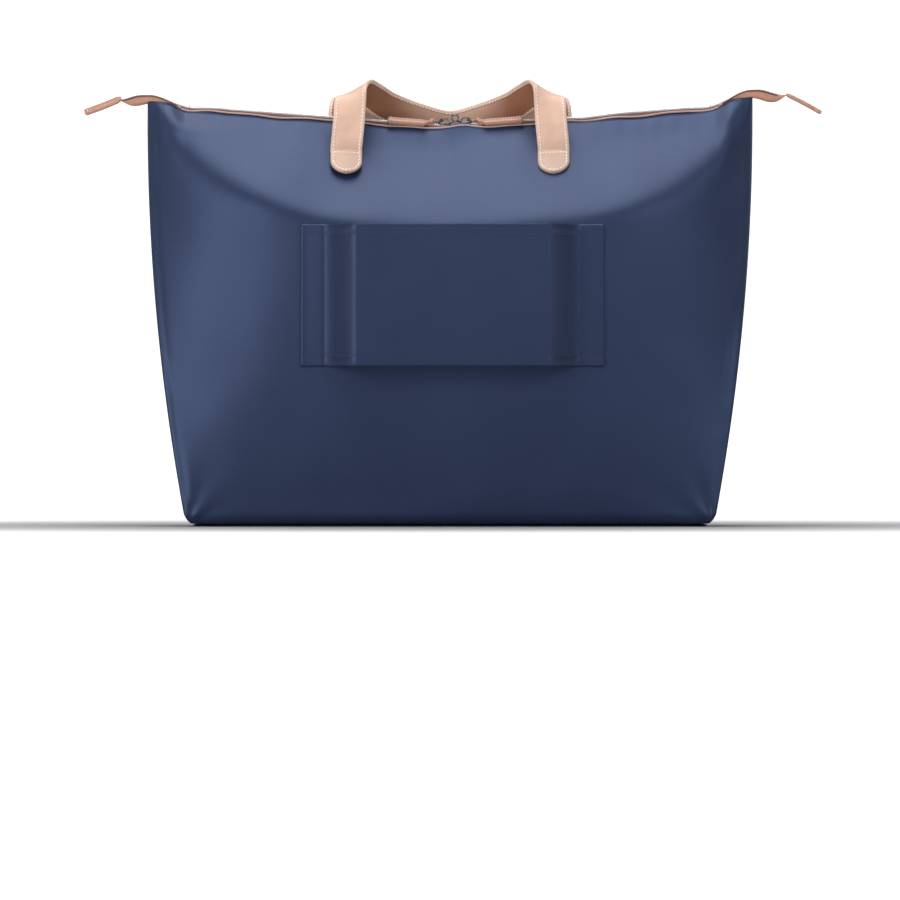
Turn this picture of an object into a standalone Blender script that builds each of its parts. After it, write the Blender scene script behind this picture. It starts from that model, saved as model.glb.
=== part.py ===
"""Foldable zip-top tote bag that slips over a suitcase's trolley handle.

Metres, +Z up. X runs along the bag's width, Y through its depth, and the
origin is on the floor under the middle of the base. The back of the bag,
with the trolley sleeve, faces -Y.
"""

import math

import bmesh
import bpy
import numpy as np
from mathutils import Vector

# ---- driving dimensions -------------------------------------------------
HEIGHT = 0.360  # floor to the top corners of the fabric
HALF_TOP = 0.2576  # half the width at the top corners
FLARE = 0.0352  # how much narrower each side is at the floor
FLARE_POWER = 2.0
HALF_DEPTH = 0.095
TOP_DEPTH = 0.005  # half the depth left where a side edge meets the zip
CORNER_R = 0.012  # rounding along the bottom edges
FABRIC = 0.0012
GAP = 0.0004  # clearance between touching pieces

ZIP_MID = 0.3413  # top of the teeth over the middle
ZIP_SLOPE = 0.0765
ZIP_RISE = 0.012  # hump over the leather ends
HUMP_UP = (0.218, 0.256)  # where along the zip the hump rises and falls
HUMP_DOWN = (0.262, 0.284)
NECK_DROP = 0.0045  # fall from the hump to the neck at its tip
EDGE_DROP = 0.0059  # fabric edge below the top of the teeth
EDGE_Y = 0.0085  # half the gap between the two panels at the zip
ZIP_HALF = 0.2250  # where the zip goes into its leather ends
END_TIP = 0.2815  # outer end of a leather zip end

BASE_T = 0.002
BASE_HALF = (0.2175, 0.0875)
PANEL_LOW = 0.0026
GUSSET_TOP = 0.335
GUSSET_SET = 0.0026  # side wall in from the edges of the big panels
TAPE_R = 0.0012

SLEEVE_X = (-0.126, 0.130)
SLEEVE_Z = (0.135, 0.255)
SLEEVE_Y = 0.119  # distance of the sleeve's flat front from the middle plane
SLEEVE_FLAT = 0.080
SLEEVE_SEAM = 0.020

STRAP_W = 0.027
STRAP_T = 0.0030
STRAP_X = 0.0875  # middle of a handle's leg from the middle of the bag
TAB_LOW = 0.298
TAB_TOP = 0.3165
PIVOT_Z = 0.320
PIVOT_Y = 0.0340

MEET_X = 0.0044  # where the two sliders meet
SLIDER_STEP = 0.0092  # slider's middle from the meeting point
BAIL_R = 0.0042
WIRE = 0.0009
LINK_LENGTH = 0.0078
LINK_HALF = 0.0029
PULL_LENGTH = 0.0375
PULL_ROLL = math.radians(28)  # how far a pull's face is turned down to the back
# along a leather pull: place, half width, half thickness, how far it has sunk to the fabric
PULL_SHAPE = (
    (0.0, 0.0020, 0.0011, 0.0), (0.08, 0.0029, 0.0014, 0.4), (0.2, 0.0035, 0.0017, 1.0),
    (0.6, 0.0035, 0.0017, 1.0), (0.94, 0.0036, 0.0017, 1.0), (1.0, 0.0030, 0.0014, 1.0),
)

NAVY = (0.034, 0.052, 0.118)
TAN = (0.52, 0.29, 0.20)
BROWN = (0.16, 0.05, 0.035)
SILVER = (0.82, 0.82, 0.84)
GUNMETAL = (0.16, 0.16, 0.17)


# ---- scene helpers ------------------------------------------------------
def clear_scene():
    for item in list(bpy.data.objects):
        bpy.data.objects.remove(item, do_unlink=True)


def new_collection(name):
    made = bpy.data.collections.new(name)
    bpy.context.scene.collection.children.link(made)
    return made


def make_material(name, colour, roughness, metallic=0.0):
    made = bpy.data.materials.new(name)
    made.use_nodes = True
    shader = made.node_tree.nodes["Principled BSDF"]
    shader.inputs["Base Color"].default_value = (*colour, 1)
    shader.inputs["Roughness"].default_value = roughness
    shader.inputs["Metallic"].default_value = metallic
    return made


def place(item, material, parent=None):
    PARTS.objects.link(item)
    item.data.materials.append(material)
    if parent:
        item.parent = parent
        item.matrix_parent_inverse = parent.matrix_world.inverted()
    return item


def grid_mesh(name, rows):
    """An open surface through rows of points, all rows of one length."""
    bm = bmesh.new()
    made = [[bm.verts.new(point) for point in row] for row in rows]
    for low, high in zip(made, made[1:]):
        for i in range(len(low) - 1):
            bm.faces.new((low[i], low[i + 1], high[i + 1], high[i]))
    mesh = bpy.data.meshes.new(name)
    bm.to_mesh(mesh)
    bm.free()
    mesh.shade_smooth()
    return mesh


def shell(name, rows, thickness, material, offset=-1.0, parent=None):
    """A surface given a thickness behind its front, or to both sides with offset 0."""
    item = bpy.data.objects.new(name, grid_mesh(name, rows))
    solid = item.modifiers.new("thickness", "SOLIDIFY")
    solid.thickness = thickness
    solid.offset = offset
    return place(item, material, parent)


def loft(name, sections, material, parent=None):
    """A closed body through rings of points, capped at both ends."""
    bm = bmesh.new()
    rings = [[bm.verts.new(point) for point in ring] for ring in sections]
    for low, high in zip(rings, rings[1:]):
        for i in range(len(low)):
            j = (i + 1) % len(low)
            bm.faces.new((low[i], low[j], high[j], high[i]))
    bm.faces.new(rings[0][::-1])
    bm.faces.new(rings[-1])
    bmesh.ops.recalc_face_normals(bm, faces=bm.faces)
    if bm.calc_volume(signed=True) < 0:
        bmesh.ops.reverse_faces(bm, faces=bm.faces)
    mesh = bpy.data.meshes.new(name)
    bm.to_mesh(mesh)
    bm.free()
    mesh.shade_smooth()
    mesh.set_sharp_from_angle(angle=math.radians(35))
    return place(bpy.data.objects.new(name, mesh), material, parent)


def wire(name, points, radius, material, parent=None, ring=False, resolution=1):
    """A round wire or cord through the points."""
    curve = bpy.data.curves.new(name, "CURVE")
    curve.dimensions = "3D"
    curve.bevel_depth = radius
    curve.bevel_resolution = resolution
    curve.use_fill_caps = not ring
    spline = curve.splines.new("POLY")
    spline.points.add(len(points) - 1)
    for knot, point in zip(spline.points, points):
        knot.co = (*point, 1)
    spline.use_cyclic_u = ring
    return place(bpy.data.objects.new(name, curve), material, parent)


def pivot(name, point, parent=None):
    """An empty on a joint's axis, which carries the pieces that move with it."""
    item = bpy.data.objects.new(name, None)
    PARTS.objects.link(item)
    item.location = point
    bpy.context.view_layer.update()
    if parent:
        item.parent = parent
        item.matrix_parent_inverse = parent.matrix_world.inverted()
    bpy.context.view_layer.update()
    return item


# ---- the bag's own shape ------------------------------------------------
def step(low, high, value):
    t = min(max((value - low) / (high - low), 0.0), 1.0)
    return t * t * (3 - 2 * t)


def floor_inset(z):
    """How far the rounded bottom edge stands in from the upright wall."""
    if z >= CORNER_R:
        return 0.0
    return CORNER_R - math.sqrt(CORNER_R**2 - (CORNER_R - z) ** 2)


def half_width(z):
    return HALF_TOP - FLARE * (1 - min(z / HEIGHT, 1.0)) ** FLARE_POWER


def zip_height(x):
    """Top of the zip's teeth: a shallow V, then a hump over the leather ends."""
    a = abs(x)
    hump = ZIP_RISE * step(*HUMP_UP, a) - NECK_DROP * step(*HUMP_DOWN, a)
    return ZIP_MID + ZIP_SLOPE * min(a, 0.203) + hump


def edge_height(x):
    """Top edge of the fabric, under the zip and nearly level at the corners."""
    a = abs(x)
    return ZIP_MID - EDGE_DROP + ZIP_SLOPE * a + 0.0055 * step(0.223, 0.242, a)


def panel_depth(x, z):
    """Distance of a big panel from the middle plane."""
    u = min(abs(x) / half_width(z), 1.0)
    up = min(z / HEIGHT, 1.0)
    wall = TOP_DEPTH + (HALF_DEPTH - TOP_DEPTH) * (1 - u**3.2 * up)
    roof = edge_height(x) - z + EDGE_Y
    soft = 0.0015 + 0.25 * min(wall, roof, 0.03)
    return -soft * math.log(math.exp(-wall / soft) + math.exp(-roof / soft))


def panel_point(x, z, side):
    """A point on a big panel's outside; side is -1 at the back, +1 at the front."""
    inset = floor_inset(z)
    across = x * (half_width(z) - inset) / half_width(z)
    return Vector((across, side * (panel_depth(x, z) - inset), z))


def panel_normal(x, z, side):
    d = 0.001
    along = panel_point(x + d, z, side) - panel_point(x - d, z, side)
    up = panel_point(x, z + d, side) - panel_point(x, z - d, side)
    return along.cross(up).normalized() * -side


def on_panel(x, z, side, out):
    return panel_point(x, z, side) + panel_normal(x, z, side) * out


def panel_heights(x, count):
    """Heights up a panel, closer together round the bottom edge."""
    top = edge_height(x)
    low = [PANEL_LOW, 0.006, CORNER_R]
    return low + [CORNER_R + (top - CORNER_R) * (i / count) for i in range(1, count + 1)]


def edge_depth(z):
    """Half the depth of the bag along a side edge."""
    up = min(z / HEIGHT, 1.0)
    return TOP_DEPTH + (HALF_DEPTH - TOP_DEPTH) * (1 - up) - floor_inset(z)


def gusset_reach(y, z):
    """Distance of a side wall from the middle of the bag, creased inwards."""
    fold = 0.002 + 0.026 * (z / GUSSET_TOP) ** 1.5
    near = 1 - abs(y) / (edge_depth(z) - GUSSET_SET)
    return half_width(z) - floor_inset(z) - GUSSET_SET - fold * near**1.2


# ---- the shell ----------------------------------------------------------
def build_panel(side, name):
    half = (0.0, 0.13, 0.27, 0.40, 0.53, 0.65, 0.76, 0.835, ZIP_HALF / HALF_TOP, 0.91, 0.955, 1.0)
    columns = [-u for u in half[:0:-1]] + list(half)
    rows = []
    for k in range(len(panel_heights(0, 15))):
        row = []
        for u in columns:
            z = panel_heights(u * HALF_TOP, 15)[k]
            row.append(panel_point(u * half_width(z), z, side))
        rows.append(row if side < 0 else row[::-1])
    shell(name, rows, FABRIC, FABRIC_MAT)


def build_gusset(hand, name):
    """A side wall, set just inside the two panels' edges and creased inwards."""
    rows = []
    for k in range(13):
        z = PANEL_LOW + (GUSSET_TOP - PANEL_LOW) * k / 12
        reach = edge_depth(z) - GUSSET_SET
        row = []
        for j in range(9):
            y = reach * (-1 + 2 * j / 8)
            row.append((hand * gusset_reach(y, z), y, z))
        rows.append(row if hand > 0 else row[::-1])
    shell(name, rows, FABRIC, FABRIC_MAT)


def build_base():
    """The flat bottom, with rounded corners."""
    half_x, half_y = BASE_HALF
    ring = []
    for quarter in range(4):
        for k in range(5):
            angle = math.pi / 2 * (quarter + k / 4)
            sx = (1, -1, -1, 1)[quarter]
            sy = (1, 1, -1, -1)[quarter]
            ring.append(
                (
                    sx * (half_x - 0.01) + 0.01 * math.cos(angle),
                    sy * (half_y - 0.01) + 0.01 * math.sin(angle),
                )
            )
    sections = [[(x, y, z) for x, y in ring] for z in (0.0, BASE_T)]
    loft("base_panel", sections, FABRIC_MAT)


def sleeve_point(x, z):
    """The band follows the back panel at its seams and stands off flat between them."""
    middle = (SLEEVE_X[0] + SLEEVE_X[1]) / 2
    half = (SLEEVE_X[1] - SLEEVE_X[0]) / 2
    a = abs(x - middle)
    lift = 1 - step(SLEEVE_FLAT, half - SLEEVE_SEAM, a)
    near = panel_depth(x, z) + GAP + FABRIC
    return (x, -(near + (SLEEVE_Y - near) * lift), z)


def build_sleeve():
    middle = (SLEEVE_X[0] + SLEEVE_X[1]) / 2
    half = (SLEEVE_X[1] - SLEEVE_X[0]) / 2
    seam = half - SLEEVE_SEAM
    stops = [-half, -seam, -0.100, -0.093, -0.086, -SLEEVE_FLAT, -0.04, 0.0]
    stops += [-s for s in stops[-2::-1]]
    rows = []
    for k in range(7):
        z = SLEEVE_Z[0] + (SLEEVE_Z[1] - SLEEVE_Z[0]) * k / 6
        rows.append([sleeve_point(middle + s, z) for s in stops])
    shell("trolley_sleeve", rows, FABRIC, FABRIC_MAT)


def build_pocket():
    """The flat stow pouch sewn inside the front panel."""
    rows = []
    for k in range(7):
        z = 0.10 + 0.12 * k / 6
        row = [on_panel(x, z, 1, -(FABRIC + GAP)) for x in np.linspace(0.085, -0.085, 9)]
        rows.append(row)
    shell("inner_pocket", rows, 0.0024, LINING_MAT)


def build_seam_tapes():
    """Binding over the raw seams, inside the corners and along the base."""
    heights = np.linspace(0.024, 0.300, 9)
    for y_name, side in SIDES:
        for x_name, hand in HANDS:
            points = []
            for z in heights:
                y = edge_depth(z) - 0.0048
                x = gusset_reach(y, z) - FABRIC - TAPE_R - 0.0024
                points.append((hand * x, side * y, z))
            wire(f"seam_tape_{y_name}_{x_name}", points, TAPE_R, LINING_MAT)
        points = [(x, side * 0.0845, 0.0052) for x in np.linspace(-0.200, 0.200, 5)]
        wire(f"seam_tape_{y_name}_base", points, TAPE_R, LINING_MAT)


# ---- the zip ------------------------------------------------------------
def zip_stations():
    outer = [0.203 + (ZIP_HALF - 0.203) * k / 3 for k in range(4)]
    half = [0.0, 0.05, 0.10, 0.15, 0.18] + outer
    return [-x for x in half[:0:-1]] + half


def strip(name, y_low, y_high, z_low, z_high, side, material):
    """A strip along the zip; its heights are counted down from the teeth's top."""
    sections = []
    for x in zip_stations():
        z = zip_height(x)
        corners = ((y_low, z_low), (y_high, z_low), (y_high, z_high), (y_low, z_high))
        sections.append([(x, side * y, z - drop) for y, drop in corners])
    loft(name, sections, material)


def build_zip():
    for y_name, side in SIDES:
        strip(f"zip_teeth_{y_name}", 0.0011, 0.0031, 0.0024, 0.0, side, TEETH_MAT)
        strip(f"zip_tape_{y_name}", 0.0036, 0.0068, 0.0037, 0.0029, side, TAPE_MAT)
        points = [(x, side * 0.0080, zip_height(x) - 0.0036) for x in zip_stations()]
        wire(f"zip_piping_{y_name}", points, 0.0007, LEATHER_MAT, resolution=1)


def build_zip_end(hand, name):
    """The folded leather that closes an end of the zip and stands past the bag."""
    sections = []
    for t in np.linspace(0, 1, 9):
        x = ZIP_HALF + 0.0008 + (END_TIP - ZIP_HALF - 0.0008) * t
        top = zip_height(x) + 0.0002
        low = top - (0.0042 + 0.0052 * math.sin(math.pi * min(t * 1.05, 1)) ** 1.3)
        if x < HALF_TOP + 0.004:
            low = max(low, edge_height(x) + 2 * GAP)
        half = 0.0062 - 0.0036 * t
        mid = (top + low) / 2
        tall = (top - low) / 2
        ring = []
        for k in range(10):
            angle = 2 * math.pi * k / 10
            ring.append((hand * x, half * math.cos(angle), mid + tall * math.sin(angle)))
        sections.append(ring)
    loft(name, sections, LEATHER_MAT)


def build_end_stop(hand, name):
    """The small bar that stops a slider at the end of the teeth."""
    x = hand * (ZIP_HALF - 0.003)
    top = zip_height(x) + 0.0012
    wire(name, [(x, -0.0036, top), (x, 0.0036, top)], 0.0006, METAL_MAT)


def rounded_ring(middle, wide, thick):
    """A ring round a flat strap with full edges."""
    ring = []
    for k in range(12):
        c, s = math.cos(math.pi * k / 6), math.sin(math.pi * k / 6)
        c = math.copysign(abs(c) ** 0.5, c)
        s = math.copysign(abs(s) ** 0.65, s)
        ring.append(middle + wide * c + thick * s)
    return ring


def build_end_tab(hand, name):
    """The stitched pull tab that hangs from a leather zip end."""
    root = Vector((hand * 0.2832, 0, 0.3652))
    tip = Vector((-0.3112 if hand < 0 else 0.3160, 0, 0.3518))
    along = (tip - root).normalized()
    roll = math.radians(18 if hand < 0 else 5)
    wide = Vector((0, 1, 0)) * math.cos(roll) + along.cross(Vector((0, 1, 0))) * math.sin(roll)
    thick = along.cross(wide)
    axle = pivot(f"{name}_axis", root)
    sections = []
    for t in (0.0, 0.12, 0.3, 0.8, 0.93, 1.0):
        half = 0.0060 * min(1.0, 0.45 + 2.2 * t) * (1.0 if t < 0.9 else 0.93 if t < 1 else 0.7)
        sections.append(rounded_ring(root + (tip - root) * t, wide * half, thick * 0.0015))
    loft(name, sections, LEATHER_MAT, axle)


# ---- sliders, links and pulls -------------------------------------------
def slider_body(hand, name, middle, parent):
    """Two plates over and under the teeth, joined by the web between them."""
    along = Vector((hand, 0, ZIP_SLOPE)).normalized()
    up = Vector((-along.z, 0, along.x)) * hand
    outline = [
        (-0.0045, 0.0005), (-0.0006, 0.0005), (-0.0006, -0.0029), (-0.0028, -0.0029),
        (-0.0028, -0.0040), (0.0028, -0.0040), (0.0028, -0.0029), (0.0006, -0.0029),
        (0.0006, 0.0005), (0.0045, 0.0005), (0.0045, 0.0017), (-0.0045, 0.0017),
    ]
    sections = []
    for a in (-0.0052, 0.0052):
        sections.append([middle + along * a + Vector((0, y, 0)) + up * h for y, h in outline])
    loft(name, sections, METAL_MAT, parent)


def build_slider(hand, name):
    """A slider with its bail, lock eye, link and leather pull."""
    x = MEET_X + hand * SLIDER_STEP
    middle = Vector((x, 0, ZIP_MID + ZIP_SLOPE * abs(x)))
    along = Vector((hand, 0, ZIP_SLOPE)).normalized()
    up = Vector((-along.z, 0, along.x)) * hand
    carrier = pivot(f"{name}_slider_axis", middle)
    slider_body(hand, f"{name}_slider", middle, carrier)

    arch = []
    for k in range(9):
        angle = math.pi * k / 8
        arch.append(middle + along * (BAIL_R * math.cos(angle)) + up * (0.0027 + 0.0026 * math.sin(angle)))
    wire(f"{name}_bail", arch, WIRE * 0.8, METAL_MAT, carrier)

    eye_y = hand * 0.0022
    base = middle - along * 0.0052
    centre = Vector((MEET_X, eye_y, base.z + 0.0046))
    ring = []
    for k in range(12):
        angle = 2 * math.pi * k / 12
        ring.append(centre + Vector((0.0026 * math.cos(angle), 0, 0.0026 * math.sin(angle))))
    wire(f"{name}_lock_eye", ring, 0.0006, METAL_MAT, carrier, ring=True)

    # the link's inner bar is held in the bail, and its far end leans to the back
    hinge = middle + along * 0.0016 + up * 0.0034
    link_axis = pivot(f"{name}_link_axis", hinge, carrier)
    reach = along * LINK_LENGTH + Vector((0, -0.0035, 0)) - up * 0.0015
    loop = []
    for k in range(14):
        angle = 2 * math.pi * k / 14
        spread = Vector((0, LINK_HALF * math.sin(angle), 0))
        loop.append(hinge + reach * (0.5 + 0.5 * math.cos(angle)) + spread)
    wire(f"{name}_pull_link", loop, WIRE * 0.75, METAL_MAT, link_axis, ring=True)

    far = hinge + reach
    pull_axis = pivot(f"{name}_pull_axis", far, link_axis)
    wide = -(Vector((0, math.cos(PULL_ROLL), 0)) + up * math.sin(PULL_ROLL))
    thick = along.cross(wide)
    sections = []
    for t, w, h, sunk in PULL_SHAPE:
        spot = middle + along * (LINK_LENGTH + 0.0033 + PULL_LENGTH * t)
        spot += Vector((0, -0.0045 - 0.0038 * sunk, 0)) + up * (0.0016 - 0.0018 * sunk)
        sections.append(rounded_ring(spot, wide * w, thick * h))
    loft(f"{name}_leather_pull", sections, LEATHER_MAT, pull_axis)


# ---- handles ------------------------------------------------------------
# Half of a handle as pairs of points across the strap, from its foot to the
# middle of the loop: the edge nearer the middle of the bag, then the outer edge.
# The back handle has fallen over the zip to the front; the front one leans out.
BACK_LOOP = (
    ((-0.0745, -0.0340, 0.3203), (-0.1015, -0.0340, 0.3203)),
    ((-0.0720, -0.0325, 0.3450), (-0.0995, -0.0330, 0.3430)),
    ((-0.0700, -0.0260, 0.3715), (-0.0975, -0.0285, 0.3575)),
    ((-0.0640, -0.0100, 0.3785), (-0.0900, -0.0140, 0.3640)),
    ((-0.0530, 0.0080, 0.3697), (-0.0800, -0.0010, 0.3625)),
    ((-0.0370, 0.0205, 0.3606), (-0.0680, 0.0110, 0.3535)),
    ((-0.0180, 0.0280, 0.3552), (-0.0360, 0.0245, 0.3395)),
    ((0.0, 0.0300, 0.3540), (0.0, 0.0310, 0.3285)),
)
FRONT_LOOP = (
    ((-0.0775, 0.0340, 0.3203), (-0.1045, 0.0340, 0.3203)),
    ((-0.0775, 0.0370, 0.3400), (-0.1045, 0.0365, 0.3390)),
    ((-0.0765, 0.0440, 0.3600), (-0.1035, 0.0430, 0.3565)),
    ((-0.0725, 0.0570, 0.3690), (-0.0995, 0.0540, 0.3640)),
    ((-0.0640, 0.0740, 0.3650), (-0.0900, 0.0700, 0.3575)),
    ((-0.0470, 0.0880, 0.3530), (-0.0680, 0.0860, 0.3400)),
    ((-0.0220, 0.0950, 0.3435), (-0.0340, 0.0950, 0.3230)),
    ((0.0, 0.0965, 0.3405), (0.0, 0.0980, 0.3140)),
)


def smooth_between(knots, samples):
    """A smooth curve through the knots, mirrored past the last one."""
    points = [Vector(p) for p in knots]
    mirrored = [Vector((-p.x, p.y, p.z)) for p in points[-2::-1]]
    whole = points + mirrored
    ends = [2 * whole[0] - whole[1]] + whole + [2 * whole[-1] - whole[-2]]
    result = []
    for i in range(len(whole) - 1):
        a, b, c, d = ends[i : i + 4]
        for k in range(samples):
            t = k / samples
            result.append(
                0.5 * (2 * b + (c - a) * t + (2 * a - 5 * b + 4 * c - d) * t**2
                       + (3 * b - a - 3 * c + d) * t**3)
            )
    return result + [whole[-1]]


def build_handle(loop, side, name):
    axle = pivot(f"{name}_axis", (0, side * PIVOT_Y, PIVOT_Z))
    inner = smooth_between([pair[0] for pair in loop], 3)
    outer = smooth_between([pair[1] for pair in loop], 3)
    rows = [[a, a.lerp(b, 0.5), b] for a, b in zip(inner, outer)]
    shell(f"{name}_strap", rows, STRAP_T, LEATHER_MAT, 0.0, axle)


def foot_outline(z, low, top):
    """Half the width of a strap's foot, rounded at its lower end."""
    half = STRAP_W / 2
    if z < low + half:
        return math.sqrt(max(half**2 - (low + half - z) ** 2, 1e-8))
    return half


def build_foot(side, hand, name, low, top, out, thickness, material):
    """A strap's foot on the slope of a panel, or the patch behind it."""
    half = STRAP_W / 2
    turn = [low + half * (1 - math.cos(math.pi / 2 * (k + 0.6) / 5.6)) for k in range(6)]
    heights = turn + [top]
    middle = STRAP_X if side < 0 else STRAP_X + 0.003
    rows = []
    for z in heights:
        w = foot_outline(z, low, top)
        row = [
            on_panel(hand * (middle - side * hand * t * w), z, side, out)
            for t in np.linspace(-1, 1, 7)
        ]
        rows.append(row)
    shell(name, rows, thickness, material, -1.0)


def build_feet():
    for y_name, side in SIDES:
        for x_name, hand in HANDS:
            build_foot(side, hand, f"handle_tab_{y_name}_{x_name}", TAB_LOW, TAB_TOP,
                       GAP + STRAP_T, STRAP_T, LEATHER_MAT)
            build_foot(side, hand, f"handle_patch_{y_name}_{x_name}", TAB_LOW - 0.004, TAB_TOP + 0.004,
                       -(FABRIC + GAP), 0.0014, LINING_MAT)


# ---- build --------------------------------------------------------------
SIDES = (("back", -1), ("front", 1))
HANDS = (("left", -1), ("right", 1))

clear_scene()
PARTS = new_collection("foldable_tote_bag")
FABRIC_MAT = make_material("navy_nylon", NAVY, 0.6)
LINING_MAT = make_material("navy_lining", NAVY, 0.75)
LEATHER_MAT = make_material("tan_leather", TAN, 0.5)
TAPE_MAT = make_material("brown_tape", BROWN, 0.8)
TEETH_MAT = make_material("silver_teeth", SILVER, 0.3, 0.9)
METAL_MAT = make_material("gunmetal", GUNMETAL, 0.3, 1.0)

for y_name, side in SIDES:
    build_panel(side, f"{y_name}_panel")
for x_name, hand in HANDS:
    build_gusset(hand, f"{x_name}_gusset")
build_base()
build_sleeve()
build_pocket()
build_seam_tapes()
build_zip()
for x_name, hand in HANDS:
    build_zip_end(hand, f"{x_name}_zip_end")
    build_end_stop(hand, f"{x_name}_end_stop")
    build_end_tab(hand, f"{x_name}_end_tab")
    build_slider(hand, x_name)
build_feet()
build_handle(BACK_LOOP, -1, "back_handle")
build_handle(FRONT_LOOP, 1, "front_handle")
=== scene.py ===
"""Looks of the foldable zip-top tote bag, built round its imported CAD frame.

Metres. X runs along the bag's width, Y through its depth (the sleeve is at
-Y) and Z is up. The shape's formulas are those of the CAD part.
"""

import math

import bpy
import numpy as np
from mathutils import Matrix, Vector, noise


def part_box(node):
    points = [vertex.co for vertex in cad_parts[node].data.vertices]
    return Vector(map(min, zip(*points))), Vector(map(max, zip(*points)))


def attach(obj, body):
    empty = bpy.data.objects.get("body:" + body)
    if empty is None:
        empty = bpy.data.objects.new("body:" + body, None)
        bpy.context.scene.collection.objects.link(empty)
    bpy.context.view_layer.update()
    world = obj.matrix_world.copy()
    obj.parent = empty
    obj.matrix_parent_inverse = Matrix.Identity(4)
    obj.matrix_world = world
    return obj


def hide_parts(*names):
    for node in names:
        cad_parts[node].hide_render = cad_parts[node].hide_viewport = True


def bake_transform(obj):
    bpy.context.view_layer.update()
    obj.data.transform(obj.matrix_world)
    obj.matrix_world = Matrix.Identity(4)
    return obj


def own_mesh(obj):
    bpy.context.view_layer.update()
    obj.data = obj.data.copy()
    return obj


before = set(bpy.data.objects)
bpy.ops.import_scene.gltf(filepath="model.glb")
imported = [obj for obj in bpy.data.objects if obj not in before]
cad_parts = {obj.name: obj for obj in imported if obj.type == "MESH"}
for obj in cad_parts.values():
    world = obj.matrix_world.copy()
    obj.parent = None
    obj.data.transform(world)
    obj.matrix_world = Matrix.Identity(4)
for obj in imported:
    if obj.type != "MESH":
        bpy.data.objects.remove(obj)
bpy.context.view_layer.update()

# ---- driving dimensions, as in the CAD part
HEIGHT = 0.36
HALF_TOP = 0.2576
FLARE = 0.0352
FLARE_POWER = 2.0
HALF_DEPTH = 0.095
TOP_DEPTH = 0.005
CORNER_R = 0.012
FABRIC = 0.001
PANEL_LOW = 0.0026
ZIP_MID = 0.3413
ZIP_SLOPE = 0.0765
ZIP_RISE = 0.012
EDGE_DROP = 0.0059
EDGE_Y = 0.0085
ZIP_HALF = 0.225
END_TIP = 0.2815
GUSSET_TOP = 0.335
GUSSET_SET = 0.0026
EDGE_RISE = 0.0013  # the cloth reaches this far up behind the edging
FOLD_SOFT = 0.1  # how gently the wall turns into the sloping top
SLEEVE_X = (-0.126, 0.13)
SLEEVE_Z = (0.135, 0.255)
SLEEVE_Y = 0.119
SLEEVE_FLAT = 0.08
SLEEVE_SEAM = 0.02
SLEEVE_HEM = 0.0088
STRAP_W = 0.027
STRAP_T = 0.003
TAB_LOW = 0.298
TAB_TOP = 0.3165
MEET_X = 0.0044
SLIDER_STEP = 0.0092
BAIL_R = 0.0042
LINK_LENGTH = 0.0078
LINK_HALF = 0.0029
PULL_LENGTH = 0.0375
PULL_ROLL = math.radians(28)  # a pull is turned this far about its length, from lying flat
GUSSET_EDGE = 0.0012  # a side wall's edge stays this far inside the panels' edges
STRAP_INSET = 0.0026  # from a handle's edge to its stitches
STITCH_PITCH = 0.003
CREAM_STITCH = (0.0022, 0.00105, 0.0007)  # length, width and height
NAVY_STITCH = (0.0022, 0.0005, 0.0004)
TOOTH_PITCH = 0.0021
TEETH_END = 0.2785

HANDS = (("left", -1), ("right", 1))
SIDES = (("back", -1), ("front", 1))
SIDEWAYS = np.array((0.0, 1.0, 0.0))


# ---- the bag's shape
def step(low, high, value):
    """0 at low and 1 at high, eased between them."""
    t = np.clip((np.asarray(value, float) - low) / (high - low), 0, 1)
    return t * t * (3 - 2 * t)


def bell(middle, width, value):
    return np.exp(-(((np.asarray(value, float) - middle) / width) ** 2))


def floor_inset(z):
    low = np.clip(CORNER_R - np.asarray(z, float), 0, CORNER_R)
    return CORNER_R - np.sqrt(CORNER_R**2 - low**2)


def half_width(z):
    return HALF_TOP - FLARE * (1 - np.clip(np.asarray(z) / HEIGHT, 0, 1)) ** FLARE_POWER


def zip_height(x):
    """Top of the zip's teeth; the right end is pulled up a little higher."""
    a = np.abs(x)
    hump = ZIP_RISE * step(0.218, 0.256, a) - 0.0045 * step(0.262, 0.284, a)
    wave = 0.0045 * step(0.208, 0.262, x) - 0.0015 * bell(0.115, 0.018, x)
    return ZIP_MID + ZIP_SLOPE * np.minimum(a, 0.203) + hump + wave


def edge_height(x):
    """The sewn edge, just under the zip."""
    a = np.abs(x)
    rise = 0.0055 * step(0.223, 0.242, a) + 0.0032 * step(0.208, 0.245, x)
    return ZIP_MID - EDGE_DROP + ZIP_SLOPE * a + rise


def panel_depth(x, z):
    """How far out a panel is: an upright wall that turns softly into a sloping top."""
    u = np.minimum(np.abs(x) / half_width(z), 1)
    up = np.clip(np.asarray(z) / HEIGHT, 0, 1)
    power = np.where(np.asarray(x) > 0, 4.2, 3.2)  # the right end is puffed out a little more
    wall = TOP_DEPTH + (HALF_DEPTH - TOP_DEPTH) * (1 - u**power * up)
    roof = edge_height(x) - z + EDGE_Y
    gentle = FOLD_SOFT + 0.16 * step(0.13, 0.24, np.abs(x))
    soft = 0.0015 + gentle * np.minimum(np.minimum(wall, roof), 0.03)
    return -soft * np.log(np.exp(-wall / soft) + np.exp(-roof / soft))


def panel_point(x, z, side):
    inset = floor_inset(z)
    across = x * (half_width(z) - inset) / half_width(z)
    depth = side * (panel_depth(x, z) - inset)
    return xyz(across, depth, z)


def unit(v):
    return v / np.maximum(np.linalg.norm(v, axis=-1, keepdims=True), 1e-12)


def circle(count):
    """(cosines, sines) at even steps round a circle."""
    turn = np.linspace(0, 2 * np.pi, count, endpoint=False)
    return np.cos(turn), np.sin(turn)


def squarer(value, power):
    """A power that keeps the sign; below 1 it turns a circle into a rounded box."""
    return np.sign(value) * np.abs(value) ** power


def xyz(x, y, z):
    return np.stack(np.broadcast_arrays(x, y, z), -1)


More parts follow.
